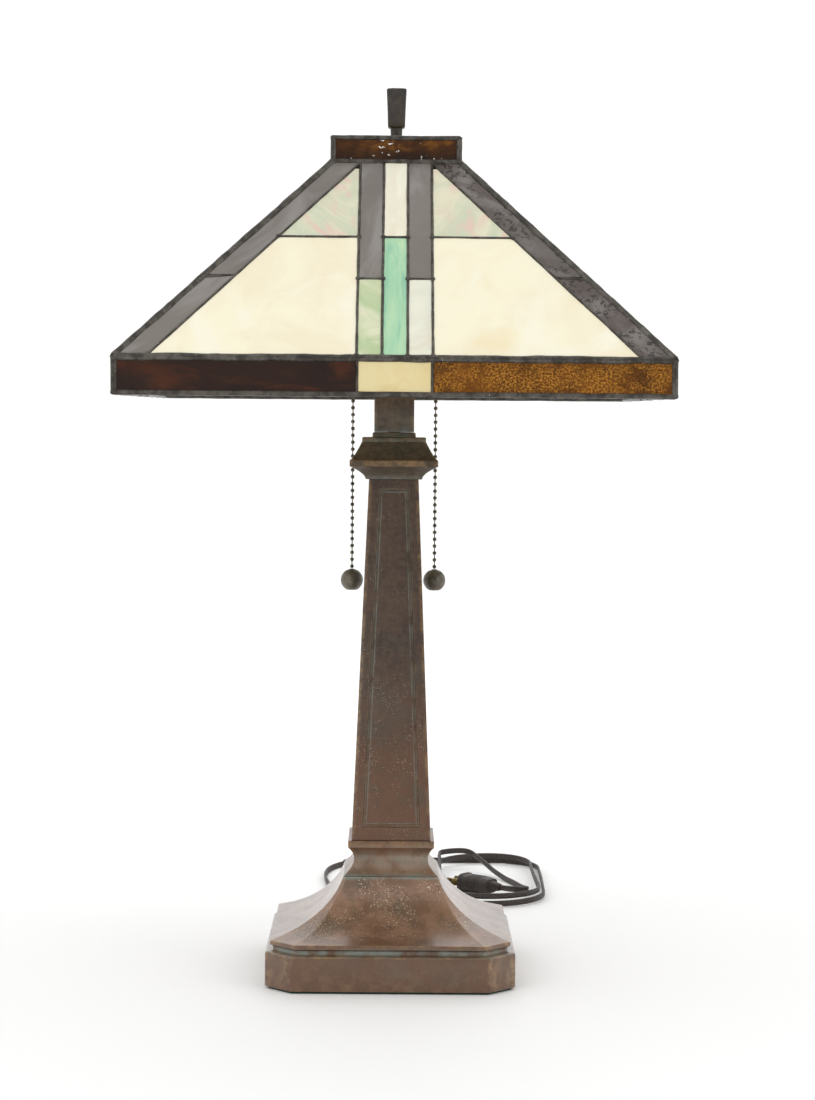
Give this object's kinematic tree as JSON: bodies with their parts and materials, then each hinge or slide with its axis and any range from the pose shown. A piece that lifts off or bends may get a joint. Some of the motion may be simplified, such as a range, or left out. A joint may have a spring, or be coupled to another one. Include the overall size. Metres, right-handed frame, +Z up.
{
  "type": "stained glass table lamp",
  "caption": "Square leaded-glass table lamp on a tapered bronze column, with a pull chain for each bulb and a corded plug.",
  "frame": {"origin": "on the table under the middle of the stand", "axes": "+Z up along the column, -Y out of the front face, +X to the right seen from the front"},
  "size_m": [0.406, 0.6907, 0.702],
  "materials": {
    "aged_bronze": "bronze patina over cast metal, rubbed lighter at the edges, satin",
    "dark_bronze": "dark bronze patina, satin",
    "lead": "patinated solder lines, dark grey, satin",
    "brass": "plain brass, lightly polished",
    "zinc_steel": "zinc plated steel",
    "iron": "rough cast iron",
    "felt": "dark green felt",
    "cord": "brown vinyl, semi-matt",
    "bulb_glass": "frosted white glass",
    "field_glass": "streaky opalescent cream, with green, pink and brown pieces",
    "teal_glass": "opalescent teal green, cream above it, brown and pale stripes beside it",
    "cream_glass": "opalescent cream amber, granular",
    "brown_glass": "dark brown, smooth and glossy",
    "amber_glass": "bright amber, granular",
    "dark_amber_glass": "dark mottled amber"
  },
  "bodies": {
    "stand": {"felt_pad": "felt", "base_weight": "iron", "base_casting": "aged_bronze", "foot_nut": "zinc_steel", "column_collar": "aged_bronze", "column": "aged_bronze", "capital": "aged_bronze", "neck_tube": "dark_bronze", "lamp_pipe": "zinc_steel", "inner_lead": "cord", "cluster_body": "brass", "socket_left": "brass", "socket_right": "brass", "shade_riser": "brass", "cord_bushing": "cord", "power_cord": "cord", "cord_hank": "cord", "plug_body": "cord", "plug_blade_near": "brass", "plug_blade_far": "brass"},
    "shade": {"shade_cap": "brass", "cap_washer": "dark_bronze", "lead_came": "lead", "roof_field_front_left": "field_glass", "roof_band_front": "teal_glass", "roof_field_front_right": "field_glass", "skirt_pane_front_left": "brown_glass", "skirt_pane_front_centre": "cream_glass", "skirt_pane_front_right": "amber_glass", "crown_pane_front": "dark_amber_glass", "roof_field_right_left": "field_glass", "roof_band_right": "teal_glass", "roof_field_right_right": "field_glass", "skirt_pane_right_left": "brown_glass", "skirt_pane_right_centre": "cream_glass", "skirt_pane_right_right": "amber_glass", "crown_pane_right": "dark_amber_glass", "roof_field_back_left": "field_glass", "roof_band_back": "teal_glass", "roof_field_back_right": "field_glass", "skirt_pane_back_left": "brown_glass", "skirt_pane_back_centre": "cream_glass", "skirt_pane_back_right": "amber_glass", "crown_pane_back": "dark_amber_glass", "roof_field_left_left": "field_glass", "roof_band_left": "teal_glass", "roof_field_left_right": "field_glass", "skirt_pane_left_left": "brown_glass", "skirt_pane_left_centre": "cream_glass", "skirt_pane_left_right": "amber_glass", "crown_pane_left": "dark_amber_glass"},
    "finial": {"finial": "dark_bronze"},
    "left_link": {"pull_link_left": "brass"},
    "left_chain": {"pull_chain_left": "brass", "pull_ball_left": "dark_bronze"},
    "left_bulb": {"bulb_left": "bulb_glass"},
    "right_link": {"pull_link_right": "brass"},
    "right_chain": {"pull_chain_right": "brass", "pull_ball_right": "dark_bronze"},
    "right_bulb": {"bulb_right": "bulb_glass"}
  },
  "joints": [
    {"name": "shade_turn", "type": "hinge", "parent": "stand", "child": "shade", "pos_m": [0, 0, 0.65], "axis": [0, 0, 1], "continuous": true},
    {"name": "finial_turn", "type": "hinge", "parent": "stand", "child": "finial", "pos_m": [0, 0, 0.67], "axis": [0, 0, 1], "continuous": true},
    {"name": "left_pull", "type": "slide", "parent": "stand", "child": "left_link", "axis": [0, 0, -1], "range_m": [0, 0.012], "stiffness_N_per_m": 150, "springref_m": -0.004},
    {"name": "left_swing", "type": "hinge", "parent": "left_link", "child": "left_chain", "pos_m": [-0.0335, 0.0385, 0.4791], "axis": [0, 1, 0], "range_deg": [-8, 35]},
    {"name": "left_bulb_turn", "type": "hinge", "parent": "stand", "child": "left_bulb", "pos_m": [-0.05, 0, 0.49204], "axis": [-0.9659, 0, 0.2588], "continuous": true},
    {"name": "right_pull", "type": "slide", "parent": "stand", "child": "right_link", "axis": [0, 0, -1], "range_m": [0, 0.012], "stiffness_N_per_m": 150, "springref_m": -0.004},
    {"name": "right_swing", "type": "hinge", "parent": "right_link", "child": "right_chain", "pos_m": [0.0335, 0.0385, 0.4791], "axis": [0, 1, 0], "range_deg": [-35, 8]},
    {"name": "right_bulb_turn", "type": "hinge", "parent": "stand", "child": "right_bulb", "pos_m": [0.05, 0, 0.49204], "axis": [0.9659, 0, 0.2588], "continuous": true}
  ]
}
